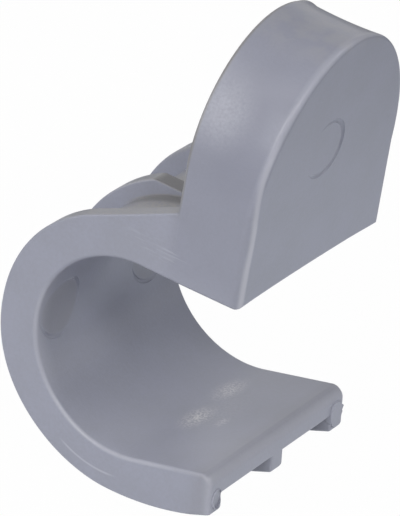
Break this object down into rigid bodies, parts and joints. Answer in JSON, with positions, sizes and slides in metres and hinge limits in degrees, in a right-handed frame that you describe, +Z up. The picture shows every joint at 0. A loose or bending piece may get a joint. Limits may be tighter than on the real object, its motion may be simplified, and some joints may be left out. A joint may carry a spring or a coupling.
{
  "type": "conduit clip",
  "caption": "Moulded grey plastic snap clip: a ribbed open strap that springs over a conduit, with a lead-in lip and a solid round-topped block above the mouth.",
  "frame": {"origin": "on the axis of the conduit seat, at the middle of the clip's width", "axes": "+Y along the conduit, +X out of the mouth, +Z up towards the block's round top"},
  "size_m": [0.0259, 0.0234, 0.0482],
  "materials": {
    "clip_plastic": "moulded grey polypropylene, satin, with faint ejector pin marks"
  },
  "bodies": {
    "root": {"clip_body": "clip_plastic"}
  },
  "joints": []
}
